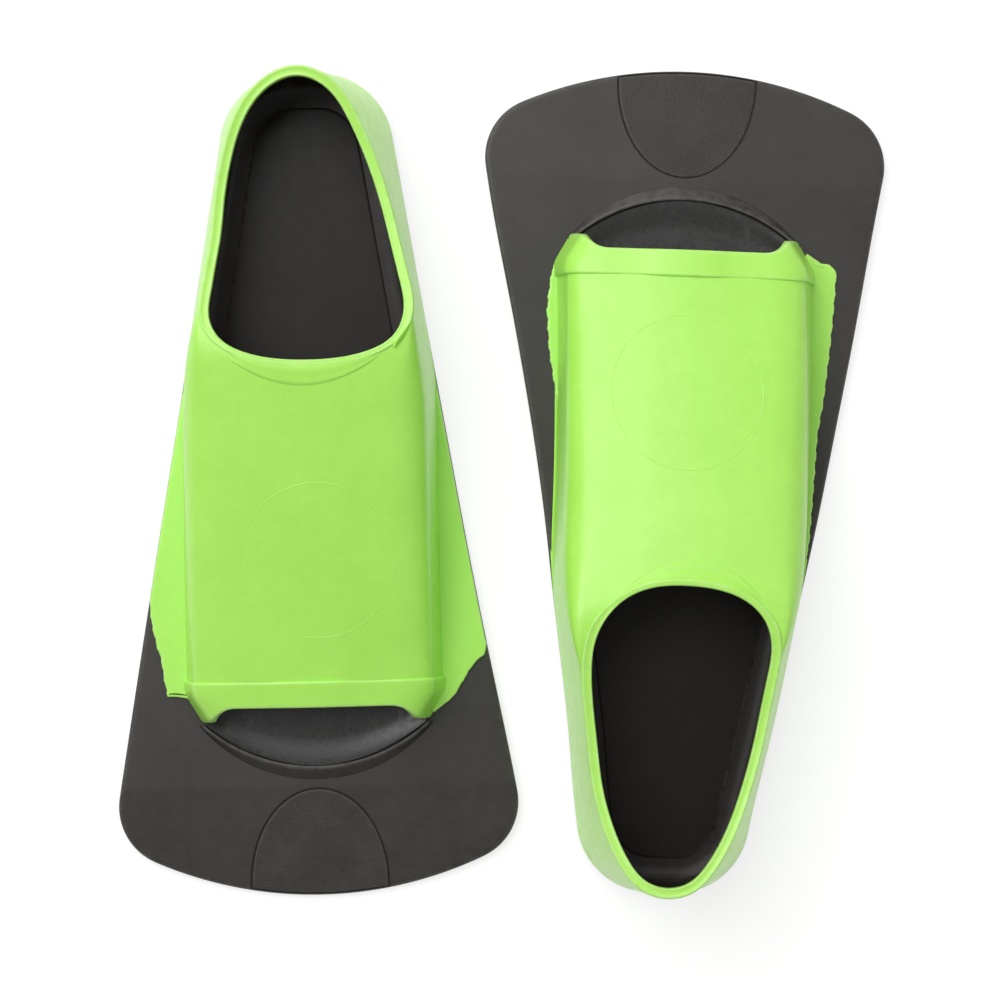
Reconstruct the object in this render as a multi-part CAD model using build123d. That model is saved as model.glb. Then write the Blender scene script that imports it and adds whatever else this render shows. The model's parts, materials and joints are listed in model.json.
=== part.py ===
"""A pair of short training swim fins with closed-heel foot pockets and open toes.

Each fin is built in its own frame: Y runs from the blade's tip to the heel, X is across,
Z is up and the sole lies on Z = 0.  The two fins then lie side by side, one turned end for
end, and the origin is at the bottom centre of the pair.  All sizes are in millimetres.
"""

import os
from math import cos, pi, radians, sin

from build123d import *

# ---- blade and sole ---------------------------------------------------------------------
fin_length = 352.0          # blade tip to heel
blade_half_width = 85.5     # at the widest point
widest_y = 42.0             # where the flanks start, measured from the tip
heel_half_width = 38.24     # where the flanks run into the heel's round ends
tip_radius = 170.0          # the tip's long arc
tip_corner_radius = 26.0    # between the tip's arc and a flank
heel_radius = 32.0          # the round ends of the heel
sole_thickness = 6.0
blade_tip_thickness = 4.0
edge_bevel = 1.0            # along the upper edge of the blade and the sole

# ---- toe band and toe window ------------------------------------------------------------------
band_front_y = 80.5         # the toe band's front edge, measured from the tip
band_length = 12.5
band_relief = 1.2           # how far the toe band stands out of the pocket
ear_reach = 6.5             # how far the band's ears run ahead of its front edge
ear_width = 5.5
window_half_width = 47.5
window_depth = 18.0         # from the ears forward to the inside of the lip
lip_width = 2.2
lip_bevel = 4.4
lip_height = 3.0
toe_bed_thickness = 1.6
toe_bed_tuck = 3.0          # how far the toe bed runs under the pocket

# ---- the blade's bending line ------------------------------------------------------------
flex_gap = 2.4              # from the lip's bevel forward to the bending line
flex_clearance = 0.3        # between the blade's round root and the sole's groove
flex_lip = 1.9              # from the bending line to the sole's front edge

# ---- textured panel at the tip --------------------------------------------------------------
panel_half_width = 29.3
panel_root_y = 2.8
panel_margin = 2.0          # from the panel to the bending line
panel_recess = 1.0
panel_thickness = 0.6

# ---- foot pocket ------------------------------------------------------------------------------
pocket_half_width = 55.5
toe_draw_in = 0.4           # how much the walls draw in for each millimetre ahead of the band
toe_height = 33.0
toe_drop = 3.5              # how much lower the pocket is at its front end
instep_height = 61.0
green_wall = 2.5
lining_wall = 2.0
footbed_thickness = 2.5
wall_lean = 5.0             # how far a wall leans in over the rim's height
heel_lean = 7.9             # the same beside the heel
heel_tilt = 3.6             # degrees that the back of the heel leans forward
crown_rise = 3.0            # rise of the arched top between its shoulders
toe_shoulder = 15.0         # radius of the pocket's shoulders at the toes
instep_shoulder = 23.0      # and at the instep
rim_shoulder = 4.0
open_wall_height = 88.0     # height the free walls are drawn to before the rim cuts them

# ---- foot opening and its collar -----------------------------------------------------------------
heel_setback = 8.5          # from the back of the heel to the opening
opening_length = 116.5
opening_bow = 9.5           # how far the front edge bows forward between its corners
opening_corner_radius = 13.0
opening_heel_radius = 19.0
rim_front_height = 67.0
rim_dip_height = 57.0
rim_heel_height = 70.0
collar_width = 4.6
collar_depth = 6.0
collar_lift = 0.8           # the bead stands this far above the walls
crescent_reach = 12.0       # the thick band ahead of the opening
crescent_half_width = 36.0
crescent_relief = 1.4

# ---- side flanges --------------------------------------------------------------------------------
flange_thickness = 1.5
flange_root = 6.0           # how far the outlines start inside the pocket's walls

# ---- layout of the pair ----------------------------------------------------------------------------
pair_pitch = 160.0          # between the two blades' tips, across the pair
tip_pitch = 353.2           # between the two blades' tips, along the pair
left_turn = 1.2             # degrees
right_turn = 178.0

# ---- cutting tools ---------------------------------------------------------------------------------
tool_reach = 60.0           # how far a cutting tool runs past what it cuts

# ---- places that follow from the sizes ---------------------------------------------------------------
band_back_y = band_front_y + band_length
window_corner_y = band_front_y - ear_reach
lip_inner_y = window_corner_y - window_depth
lip_outer_y = lip_inner_y - lip_width
flex_y = lip_outer_y - lip_bevel - flex_gap
panel_apex_y = flex_y - panel_margin
toe_bed_back_y = band_back_y + toe_bed_tuck
heel_centre_y = fin_length - heel_radius
flank_slope = (blade_half_width - heel_half_width) / (heel_centre_y - widest_y)
opening_heel_y = fin_length - heel_setback
opening_front_y = opening_heel_y - opening_length
opening_corner_y = opening_front_y + opening_bow
opening_wide_y = opening_corner_y + opening_bow
open_wall_y = opening_wide_y + rim_shoulder
rim_dip_y = (opening_front_y + opening_heel_y) / 2
instep_y = opening_front_y - crescent_reach
wall_thickness = green_wall + lining_wall


def flank(y):
    """Half the width between the two straight flanks."""
    return blade_half_width - flank_slope * (y - widest_y)


opening_half_width = flank(opening_wide_y) - wall_lean - wall_thickness
lean_growth = (heel_lean - wall_lean) / (heel_centre_y - opening_wide_y)

# ---- plan outlines -------------------------------------------------------------------------------

def fin_outline():
    """The whole fin seen from above."""
    reach = 2 * blade_half_width
    flanks = make_face(Polyline(
        (-flank(-reach), -reach), (flank(-reach), -reach),
        (flank(fin_length), fin_length), (-flank(fin_length), fin_length), close=True))
    tip_disc = Pos(0, tip_radius) * Circle(tip_radius)
    behind_tip = Pos(0, tip_radius + fin_length / 2) * Rectangle(4 * tip_radius, fin_length)
    outline = (flanks & (tip_disc + behind_tip)).face()
    corners = outline.vertices().sort_by(Axis.Y)
    outline = fillet([v for v in corners[:3] if abs(v.X) > blade_half_width / 2], tip_corner_radius)
    corners = outline.vertices().sort_by(Axis.Y)
    return fillet(corners[-2:], heel_radius).face()


def arc_segment(half_width, corner_y, apex_y):
    """The area between a straight line across the fin and an arc that bulges to the tip."""
    edge = ThreePointArc((-half_width, corner_y), (0, apex_y), (half_width, corner_y))
    return make_face(edge + Line((half_width, corner_y), (-half_width, corner_y)))


def opening_outline(outset):
    """The foot opening seen from above, or the same outline moved out by outset."""
    def side(y):
        draw_in = (flank_slope + lean_growth) * (y - opening_wide_y)
        return opening_half_width + outset - draw_in
    corner_y = opening_corner_y - outset
    heel_y = opening_heel_y + outset
    front = ThreePointArc((-side(corner_y), corner_y), (0, opening_front_y - outset),
                          (side(corner_y), corner_y))
    sides = Polyline((side(corner_y), corner_y), (side(heel_y), heel_y),
                     (-side(heel_y), heel_y), (-side(corner_y), corner_y))
    outline = make_face(front + sides)
    corners = outline.vertices().sort_by(Axis.Y)
    outline = fillet(corners[:2], opening_corner_radius + outset)
    corners = outline.vertices().sort_by(Axis.Y)
    heel_round = min(opening_heel_radius + outset, 0.9 * side(heel_y))
    return fillet(corners[-2:], heel_round).face()


# ---- the foot pocket's form ----------------------------------------------------------------------

def pocket_section(y, half_width, lean, crown, shoulder, tilt=0.0):
    """One cross-section of the pocket, standing on the sole at distance y from the tip."""
    side_height = crown - crown_rise
    top_half = half_width - lean * side_height / rim_dip_height
    walls = Polyline((-top_half, side_height), (-half_width, 0), (half_width, 0),
                     (top_half, side_height))
    top = ThreePointArc((top_half, side_height), (0, crown), (-top_half, side_height))
    outline = make_face(walls + top)
    corners = outline.vertices().sort_by(Axis.Y)
    outline = fillet(corners[-2:], min(shoulder, 0.6 * top_half))
    turn = radians(tilt)
    plane = Plane(origin=(0, y, 0), x_dir=(1, 0, 0), z_dir=(0, -cos(turn), -sin(turn)))
    return plane * outline.face()


def pocket_body(inset):
    """The pocket as a solid, with every wall moved in by inset."""
    sections = []
    straight = (
        # distance from tip, crown height, shoulder radius
        (window_corner_y, toe_height - toe_drop, toe_shoulder),
        (band_back_y, toe_height, toe_shoulder),
        (instep_y, instep_height, instep_shoulder),
        (opening_corner_y, rim_front_height - 1.0, instep_shoulder / 2),
        (open_wall_y, open_wall_height, rim_shoulder),
    )
    for y, crown, shoulder in straight:
        half = min(pocket_half_width, flank(y)) - inset
        half -= toe_draw_in * max(band_back_y - y, 0.0)
        round_off = max(shoulder - inset, 1.0)
        sections.append(pocket_section(y, half, wall_lean, crown - inset, round_off))
    heel_flat = flank(heel_centre_y) - heel_radius
    for step in range(8):
        turn = step * pi / 14
        y = heel_centre_y + (heel_radius - inset) * sin(turn)
        half = heel_flat + (heel_radius - inset) * cos(turn)
        lean = heel_lean * cos(turn)
        sections.append(pocket_section(y, half, lean, open_wall_height - inset, rim_shoulder,
                                       heel_tilt * sin(turn)))
    return loft(sections, ruled=True)


def slab(low, high, front=-tool_reach, back=fin_length + tool_reach):
    """A wide block between two heights and two distances from the tip."""
    size_y = back - front
    centre = ((front + back) / 2, (low + high) / 2)
    return Pos(0, centre[0], centre[1]) * Box(4 * blade_half_width, size_y, high - low)


def above_rim(lift):
    """Everything above the line of the rim, from the front of the opening to the heel."""
    start_y = opening_front_y - collar_width - 1.0
    end_y = fin_length + 5.0
    top = open_wall_height + tool_reach
    line = ThreePointArc((start_y, rim_front_height + lift), (rim_dip_y, rim_dip_height + lift),
                         (end_y, rim_heel_height + lift))
    sides = Polyline((end_y, rim_heel_height + lift), (end_y, top), (start_y, top),
                     (start_y, rim_front_height + lift))
    area = Plane.YZ * make_face(line + sides)
    return extrude(area, amount=2 * blade_half_width, both=True)


# ---- sub-parts of one fin ------------------------------------------------------------------------

def make_blade():
    """The bending part of the blade, with a round root and a recess for the tip panel."""
    plate = extrude(fin_outline(), amount=sole_thickness)
    plate = chamfer(plate.faces().sort_by(Axis.Z)[-1].edges(), edge_bevel)
    profile = Plane.YZ * make_face(Polyline(
        (-5, -1), (flex_y, -1), (flex_y, sole_thickness + 1), (flex_y - 1, sole_thickness),
        (0, blade_tip_thickness), (-5, blade_tip_thickness), close=True))
    blade = plate & extrude(profile, amount=2 * blade_half_width, both=True)
    root = Pos(0, flex_y, sole_thickness / 2) * Rot(0, 90, 0) * Cylinder(
        sole_thickness / 2, 2 * flank(flex_y) - 2 * edge_bevel)
    blade = blade.solid() + root
    return blade - panel_prism(panel_recess, 10)


def panel_prism(depth, height):
    """The tip panel's outline, from depth under the blade's sloping top up to height."""
    size_y = panel_apex_y - panel_root_y
    outline = Pos(0, panel_root_y) * Ellipse(panel_half_width, size_y)
    outline = outline & fin_outline() & Pos(0, fin_length / 2 + panel_root_y) * Rectangle(
        3 * panel_half_width, fin_length)
    slope = (sole_thickness - blade_tip_thickness) / (flex_y - 1)
    low = blade_tip_thickness - depth
    floor_line = Plane.YZ * make_face(Polyline(
        (-5, low - 5 * slope), (flex_y, low + flex_y * slope),
        (flex_y, low + flex_y * slope + height), (-5, low - 5 * slope + height), close=True))
    return extrude(outline.face(), amount=sole_thickness + height) & extrude(
        floor_line, amount=2 * blade_half_width, both=True)


def make_tip_panel():
    """The textured panel that sits in the blade's recess."""
    return panel_prism(panel_recess, panel_thickness)


def make_sole():
    """The stiff plate under the foot, with its side wings and the groove for the blade."""
    plate = extrude(fin_outline(), amount=sole_thickness)
    wings = slab(-1, sole_thickness + 1, flex_y, band_back_y)
    bevelled = chamfer(plate.faces().sort_by(Axis.Z)[-1].edges(), edge_bevel)
    plate = (bevelled & wings) + (plate & slab(-1, sole_thickness + 1, band_back_y))
    groove = Pos(0, flex_y, sole_thickness / 2) * Rot(0, 90, 0) * Cylinder(
        sole_thickness / 2 + flex_clearance, 4 * blade_half_width)
    return plate - slab(-1, sole_thickness + 1, -50, flex_y + flex_lip) - groove


def make_toe_rim():
    """The raised lip round the toe window, bevelled down to the blade."""
    foot = Pos(0, 0, sole_thickness) * arc_segment(
        window_half_width + lip_width + 1.0, window_corner_y - 0.4, lip_outer_y - lip_bevel)
    top = Pos(0, 0, sole_thickness + lip_height) * arc_segment(
        window_half_width + lip_width, window_corner_y - 0.4, lip_outer_y)
    inner = arc_segment(window_half_width, window_corner_y, lip_inner_y)
    inner = Pos(0, 0, sole_thickness - 1) * extrude(inner, amount=lip_height + 5)
    return loft([foot, top], ruled=True) - inner


def make_toe_bed():
    """The smooth floor that the toes rest on, from the lip back under the toe band."""
    ahead = arc_segment(window_half_width, window_corner_y, lip_inner_y)
    under = Pos(0, (window_corner_y + toe_bed_back_y) / 2) * Rectangle(
        2 * window_half_width, toe_bed_back_y - window_corner_y)
    plate = extrude(ahead + under, amount=toe_bed_thickness)
    inside = pocket_body(green_wall) + slab(0, toe_height, 0, window_corner_y)
    return (Pos(0, 0, sole_thickness) * plate) & inside


def make_footbed(inside):
    """The flat insole between the walls, from the toe bed to the heel."""
    return inside & slab(sole_thickness, sole_thickness + footbed_thickness, toe_bed_back_y)


def opening_prism(outset):
    """The space over the foot opening, as a tool to cut with."""
    return Pos(0, 0, rim_dip_height / 2) * extrude(opening_outline(outset), amount=2 * rim_heel_height)


def make_collar(outside):
    """The bead round the edge of the foot opening."""
    ring = opening_prism(collar_width) - opening_prism(0)
    band = above_rim(collar_lift - collar_depth) - above_rim(collar_lift)
    sides = ring & band & slab(0, open_wall_height, opening_corner_y)
    raised = Pos(0, 0, collar_lift) * outside
    lowered = Pos(0, 0, -wall_thickness) * outside
    front = ring & slab(0, open_wall_height, 0, opening_corner_y) & (raised - lowered)
    return sides + (front - above_rim(collar_lift))


def make_instep_crescent(outside):
    """The thick crescent of rubber ahead of the opening."""
    area = arc_segment(crescent_half_width, opening_corner_y, instep_y)
    prism = Pos(0, 0, instep_height / 2) * extrude(area, amount=instep_height)
    skin = (Pos(0, 0, crescent_relief) * outside) - outside
    return (prism & skin) - opening_prism(collar_width) - above_rim(0)


def make_toe_band():
    """The strip across the toes, with an ear at each end that runs forward to the lip."""
    ring = pocket_body(-band_relief) - pocket_body(green_wall)
    ring = ring & slab(sole_thickness, 2 * toe_height, window_corner_y, band_back_y)
    window = Pos(0, band_front_y - ear_reach, toe_height) * Box(
        2 * (window_half_width - ear_width), 2 * ear_reach, 2 * toe_height)
    return ring - window


def make_foot_pocket(outside, inside, collar):
    """The soft coloured shell that grips the foot."""
    shell = (outside - inside) & slab(sole_thickness, open_wall_height, band_back_y)
    return shell - opening_prism(0) - above_rim(0) - collar


def make_lining(inside, lined, collar):
    """The dark inner skin of the walls and heel."""
    floor = sole_thickness + footbed_thickness
    skin = (inside - lined) & slab(floor, open_wall_height, toe_bed_back_y)
    return skin - opening_prism(0) - above_rim(0) - collar


def make_flange(side, points):
    """One thin wing of overflow rubber that lies on the sole beside the pocket."""
    corners = [(side * (pocket_half_width + out), band_front_y + back) for out, back in points]
    area = make_face(Polyline(*corners, close=True)) & fin_outline()
    plate = Pos(0, 0, sole_thickness) * extrude(area, amount=flange_thickness)
    return plate - pocket_body(0) - pocket_body(-band_relief) & slab(0, toe_height, window_corner_y)


# Each flange's outline, from its front corner round its outer edge to the back and home along
# the wall.  Points are (distance outside the pocket's wall, distance behind the band's front).
past_edge = blade_half_width - pocket_half_width + 5.0
run_out = instep_y - band_front_y
wide_flange = ((-flange_root, 4.0), (7.2, 5.7), (9.4, 21.5), (13.0, 38.5),
               (past_edge, 46.5), (past_edge, run_out), (-flange_root, run_out))
swept_flange = ((-flange_root, -0.5), (6.5, 6.0), (14.0, 18.0), (past_edge, 26.5),
                (past_edge, run_out), (-flange_root, run_out))
long_strip = ((-flange_root, 1.0), (6.3, 0.5), (10.0, 4.5), (9.0, 16.5), (7.9, 35.5),
              (5.8, 58.5), (3.1, 79.5), (-flange_root, 83.5))
short_strip = ((-flange_root, 3.5), (4.5, 7.5), (5.5, 23.5), (4.1, 40.5),
               (1.7, 58.5), (-flange_root, 65.5))


def make_fin(first_flange, second_flange):
    """Every sub-part of one fin, by name."""
    outside = pocket_body(0)
    inside = pocket_body(green_wall)
    lined = pocket_body(wall_thickness)
    collar = make_collar(outside)
    return {
        "blade": make_blade(),
        "tip_panel": make_tip_panel(),
        "sole": make_sole(),
        "toe_rim": make_toe_rim(),
        "toe_bed": make_toe_bed(),
        "footbed": make_footbed(inside),
        "lining": make_lining(inside, lined, collar),
        "foot_pocket": make_foot_pocket(outside, inside, collar),
        "collar": collar,
        "instep_crescent": make_instep_crescent(outside),
        "toe_band": make_toe_band(),
        "outer_flange": make_flange(-1, first_flange),
        "inner_flange": make_flange(1, second_flange),
    }


def main():
    """Build both fins, lay them side by side and write one file for each sub-part."""
    os.makedirs("parts", exist_ok=True)
    left_place = Pos(-pair_pitch / 2, -tip_pitch / 2) * Rot(0, 0, left_turn)
    right_place = Pos(pair_pitch / 2, tip_pitch / 2) * Rot(0, 0, right_turn)
    pair = {}
    for name, shape in make_fin(wide_flange, swept_flange).items():
        pair[f"left_{name}"] = left_place * shape
    for name, shape in make_fin(long_strip, short_strip).items():
        pair[f"right_{name}"] = right_place * shape
    middle = Compound(list(pair.values())).bounding_box().center()
    print("middle of the pair", middle.X, middle.Y)
    for name, shape in pair.items():
        print(name, len(shape.solids()), round(shape.volume))
        export_step(Pos(-middle.X, -middle.Y) * shape, f"parts/{name}.step")


main()
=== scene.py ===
"""A pair of short training fins in two-colour rubber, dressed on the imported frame."""

import json
import math

import bmesh
import bpy
import numpy as np
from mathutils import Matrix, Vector
from mathutils.bvhtree import BVHTree
from bpy.props import FloatProperty, FloatVectorProperty, PointerProperty


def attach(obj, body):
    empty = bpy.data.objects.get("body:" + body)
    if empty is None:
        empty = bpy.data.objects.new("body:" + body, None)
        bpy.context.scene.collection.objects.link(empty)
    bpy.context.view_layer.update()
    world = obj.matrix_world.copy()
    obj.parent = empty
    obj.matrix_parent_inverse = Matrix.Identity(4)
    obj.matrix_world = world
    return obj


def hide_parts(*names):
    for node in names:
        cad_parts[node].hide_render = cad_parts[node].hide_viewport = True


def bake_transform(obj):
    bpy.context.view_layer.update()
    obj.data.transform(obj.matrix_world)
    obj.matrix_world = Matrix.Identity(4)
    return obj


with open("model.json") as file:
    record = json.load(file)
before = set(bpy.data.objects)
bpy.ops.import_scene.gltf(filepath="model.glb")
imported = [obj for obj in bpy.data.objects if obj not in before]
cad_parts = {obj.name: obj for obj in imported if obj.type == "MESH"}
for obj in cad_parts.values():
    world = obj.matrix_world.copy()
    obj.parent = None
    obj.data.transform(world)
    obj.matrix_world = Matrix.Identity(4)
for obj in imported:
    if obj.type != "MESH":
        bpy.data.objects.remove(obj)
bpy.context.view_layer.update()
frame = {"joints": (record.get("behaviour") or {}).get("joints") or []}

bl_info = {
    "name": "Training fins",
    "version": (1, 0, 0),
    "blender": (4, 5, 0),
    "location": "View3D > Sidebar > Fins",
    "description": "Dresses a pair of short rubber training fins on their packed frame",
    "category": "Object",
}

MM = 0.001
SIDES = ("left", "right")


# ---- settings ------------------------------------------------------------------------------------

def length(name, description, default):
    """A size in metres, given here in millimetres."""
    return FloatProperty(name=name, description=description, default=default * MM,
                         subtype="DISTANCE", unit="LENGTH", precision=4)


def tint(name, description, default):
    """A colour, given as linear red, green and blue."""
    return FloatVectorProperty(name=name, description=description, default=default,
                               size=3, min=0.0, max=1.0, subtype="COLOR")


class BladeSizes(bpy.types.PropertyGroup):
    """Sizes of the black moulding under both fins."""
    half_width: length("Half width", "Half the blade's width at its widest", 85.5)
    widest_at: length("Widest at", "Where the flanks start, from the tip", 42.0)
    heel_half_width: length("Heel half width", "Where the flanks meet the heel's rounds", 38.24)
    fin_length: length("Length", "From the blade's tip to the heel", 352.0)
    tip_radius: length("Tip radius", "The tip's long arc", 170.0)
    corner_radius: length("Corner radius", "Between the tip's arc and a flank", 26.0)
    heel_radius: length("Heel radius", "The round ends of the heel", 32.0)
    thickness: length("Thickness", "The sole and the root of the blade", 6.0)
    tip_thickness: length("Tip thickness", "The blade at its tip", 4.0)
    edge_round: length("Edge round", "Rounding of the upper edge", 1.5)
    flex_at: length("Bending line", "Where the blade bends, from the tip", 47.0)
    flex_reach: length("Bending reach", "How far the bend spreads either side of its line", 6.5)


class PanelSizes(bpy.types.PropertyGroup):
    """Sizes of the grained panel let into each blade's tip."""
    half_width: length("Half width", "Half the panel's width at its root", 29.3)
    root_at: length("Root", "Where the arch's two ends lie, from the tip", 3.3)
    margin: length("Margin", "The strip left between the panel's root and the tip", 1.0)
    apex_at: length("Apex", "The top of the panel's arch, from the tip", 45.6)
    drop: length("Drop", "How far the panel lies under the blade's face", 0.45)
    groove: length("Groove", "Width of the step round the panel", 0.7)


class WindowSizes(bpy.types.PropertyGroup):
    """Sizes of the toe window, its lip and its bed."""
    half_width: length("Half width", "Half the window's width", 47.5)
    corner_at: length("Corners", "Where the lip's ends meet the ears", 74.0)
    apex_at: length("Apex", "The middle of the lip's inner edge, from the tip", 56.0)
    lip_width: length("Lip width", "The lip's level top", 1.7)
    lip_bevel: length("Lip bevel", "The slope outside the lip, at its middle", 4.4)
    lip_height: length("Lip height", "The lip over the sole", 3.0)
    bed_back: length("Bed back", "Where the bed ends under the toe band", 96.5)


class PocketSizes(bpy.types.PropertyGroup):
    """Sizes of the green foot pocket."""
    half_width: length("Half width", "Half the pocket's width at the toes", 55.5)
    ear_reach: length("Ear reach", "How far the ears run ahead of the band", 7.0)
    band_relief: length("Band relief", "How far the toe band stands out", 1.2)
    wall: length("Wall", "Thickness of the green wall", 2.4)
    lining: length("Lining", "Thickness of the dark lining", 1.7)
    crown_rise: length("Crown rise", "Rise of the instep between its shoulders", 3.0)
    collar_width: length("Collar width", "The bead round the foot opening", 4.6)
    collar_lift: length("Collar lift", "How far the outer ridge stands over the rim", 0.55)
    crescent_relief: length("Crescent relief", "Step of the crescent ahead of the opening", 0.6)
    cove: length("Cove", "Round between the lining and the footbed", 11.5)
    flange_thickness: length("Flange thickness", "The thin wings beside the pocket", 1.5)
    ring_radius: length("Ring radius", "The witness ring on the instep", 32.5)


class RubberColours(bpy.types.PropertyGroup):
    """Colours of the rubbers."""
    green: tint("Green", "The foot pocket's rubber", (0.42, 0.835, 0.115))
    green_shade: tint("Green shade", "Cloudy patches in the green", (0.345, 0.73, 0.075))
    # The green's pale edge colour is a painted highlight: light lines along thin edges, and a painted
    # reflection of the floor low on the heel walls.
    green_highlight: tint("Green bloom", "Pale bloom on the green's thin edges", (0.55, 0.88, 0.30))
    black: tint("Black", "The blade's rubber", (0.019, 0.0160, 0.0140))
    # The pale black serves twice: as a tone in the black's random clouds, and as a painted highlight along
    # the black's edges and in the lining's heel cove.
    black_mottle_and_highlight: tint("Black bloom", "Pale bloom and wear on the black", (0.075, 0.067, 0.059))
    toe: tint("Toe bed", "The glossy floor of the toe window", (0.020, 0.020, 0.0195))
    # The toe window's pale patches are scuffs laid where painted sheen lies, at the window's ends.
    toe_scuff_and_sheen: tint("Toe scuff", "Scuffed patches in the toe window", (0.12, 0.115, 0.11))
    inner: tint("Inner", "The lining and the footbed", (0.0095, 0.0070, 0.0050))


class StageSettings(bpy.types.PropertyGroup):
    """The floor, the lamps and the camera."""
    camera_height: length("Camera height", "Over the floor", 1400.0)
    view_width: length("View width", "Width of the floor in view", 430.0)
    camera_x: length("Camera X", "Across the pair", -1.0)
    camera_y: length("Camera Y", "Along the pair", -7.2)
    lamp_power: FloatProperty(name="Lamp power", description="Main soft lamp, in watts",
                              default=25.5, min=0.0)
    fill_power: FloatProperty(name="Fill power", description="Soft lamp opposite, in watts",
                              default=2.5, min=0.0)
    edge_power: FloatProperty(name="Edge power", description="Low soft lamp behind, in watts",
                              default=4.5, min=0.0)
    sky: FloatProperty(name="Sky", description="Strength of the even light all round",
                       default=0.38, min=0.0)
    floor_glow: FloatProperty(name="Floor glow", description="Lift of the floor as the camera sees it",
                              default=0.72, min=0.0)
    floor_shown: FloatProperty(name="Floor shown", description="Grey of the floor as the camera sees it",
                               default=0.36, min=0.0, max=1.0)


def sizes(group):
    """A settings group's lengths in millimetres, by name."""
    values = getattr(bpy.context.scene, group)
    return {key: getattr(values, key) / MM for key in values.__annotations__}


# ---- curves and tracks -----------------------------------------------------------------------------

class Track:
    """A smooth value along the fin, from a few (distance, value) knots."""

    def __init__(self, knots, blur=6.0):
        self.at = np.arange(-80.0, 440.0, 0.5)
        raw = np.interp(self.at, [k[0] for k in knots], [k[1] for k in knots])
        reach = np.arange(-4 * blur, 4 * blur + 0.5, 0.5)
        weight = np.exp(-0.5 * (reach / blur) ** 2)
        pad = len(reach) // 2
        padded = np.pad(raw, pad, mode="edge")
        self.value = np.convolve(padded, weight / weight.sum(), mode="valid")[:len(raw)]

    def __call__(self, y):
        return np.interp(y, self.at, self.value)


def closed_spline(points, count):
    """A smooth closed curve through the points, evenly spaced, from the first point on."""
    pts = np.array(points, float)
    n = len(pts)
    gaps = np.linalg.norm(np.roll(pts, -1, 0) - pts, axis=1)
    system = np.zeros((n, n))
    right = np.zeros((n, 2))
    for i in range(n):
        before, after = gaps[i - 1], gaps[i]
        system[i, (i - 1) % n] += after
        system[i, i] += 2 * (before + after)
        system[i, (i + 1) % n] += before
        right[i] = 3 * (after * (pts[i] - pts[i - 1]) / before
                        + before * (pts[(i + 1) % n] - pts[i]) / after)
    slopes = np.linalg.solve(system, right)
    dense = []
    for i in range(n):
        j = (i + 1) % n
        for t in np.linspace(0, 1, 40, endpoint=False):
            h = gaps[i]
            dense.append((2 * t**3 - 3 * t**2 + 1) * pts[i] + (t**3 - 2 * t**2 + t) * h * slopes[i]
                         + (-2 * t**3 + 3 * t**2) * pts[j] + (t**3 - t**2) * h * slopes[j])
    dense = np.array(dense)
    return even(np.vstack([dense, dense[:1]]), count + 1)[:-1]


def even(line, count):
    """The same line with evenly spaced points."""
    line = np.asarray(line, float)
    run = np.concatenate([[0], np.cumsum(np.linalg.norm(np.diff(line, axis=0), axis=1))])
    at = np.linspace(0, run[-1], count)
    return np.stack([np.interp(at, run, line[:, k]) for k in range(line.shape[1])], 1)


def outward(line, closed=True):
    """Unit normals of a plan line, to its right-hand side."""
    if closed:
        along = np.roll(line, -1, 0) - np.roll(line, 1, 0)
    else:
        along = np.gradient(line, axis=0)
    along /= np.linalg.norm(along, axis=1)[:, None]
    return np.stack([along[:, 1], -along[:, 0]], 1)


def spline_rows(control, steps):
    """Quadratic splines through rows of control points: (rows, points, 3) to (rows, samples, 3)."""
    count = control.shape[1]
    parts = []
    for k in range(count - 2):
        start = control[:, 0] if k == 0 else (control[:, k] + control[:, k + 1]) / 2
        end = control[:, -1] if k == count - 3 else (control[:, k + 1] + control[:, k + 2]) / 2
        for t in np.linspace(0, 1, steps, endpoint=False):
            parts.append((1 - t) ** 2 * start + 2 * t * (1 - t) * control[:, k + 1] + t**2 * end)
    parts.append(control[:, -1])
    return np.stack(parts, 1)


def soften_rows(grid, reach=4, width=2.0):
    """Even out a grid from row to row, leaving its outer rows and columns where they are."""
    rows = len(grid)
    weight = np.exp(-0.5 * (np.arange(-reach, reach + 1) / width) ** 2)
    weight /= weight.sum()
    padded = np.pad(grid, ((reach, reach), (0, 0), (0, 0)), mode="reflect", reflect_type="odd")
    soft = sum(w * padded[k:k + rows] for k, w in enumerate(weight))
    share = np.ones((rows, grid.shape[1], 1))
    grow = np.linspace(0, 1, reach, endpoint=False)[:, None, None]
    share[:reach] = grow
    share[-reach:] = grow[::-1]
    share[:, 0] = 0
    share[:, -1] = 0
    return grid * (1 - share) + soft * share


def ease(value, low, high):
    """0 before low, 1 after high, smooth between."""
    t = np.clip((np.asarray(value, float) - low) / (high - low), 0, 1)
    return t * t * (3 - 2 * t)


# ---- one fin's place and form ---------------------------------------------------------------------------

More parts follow.
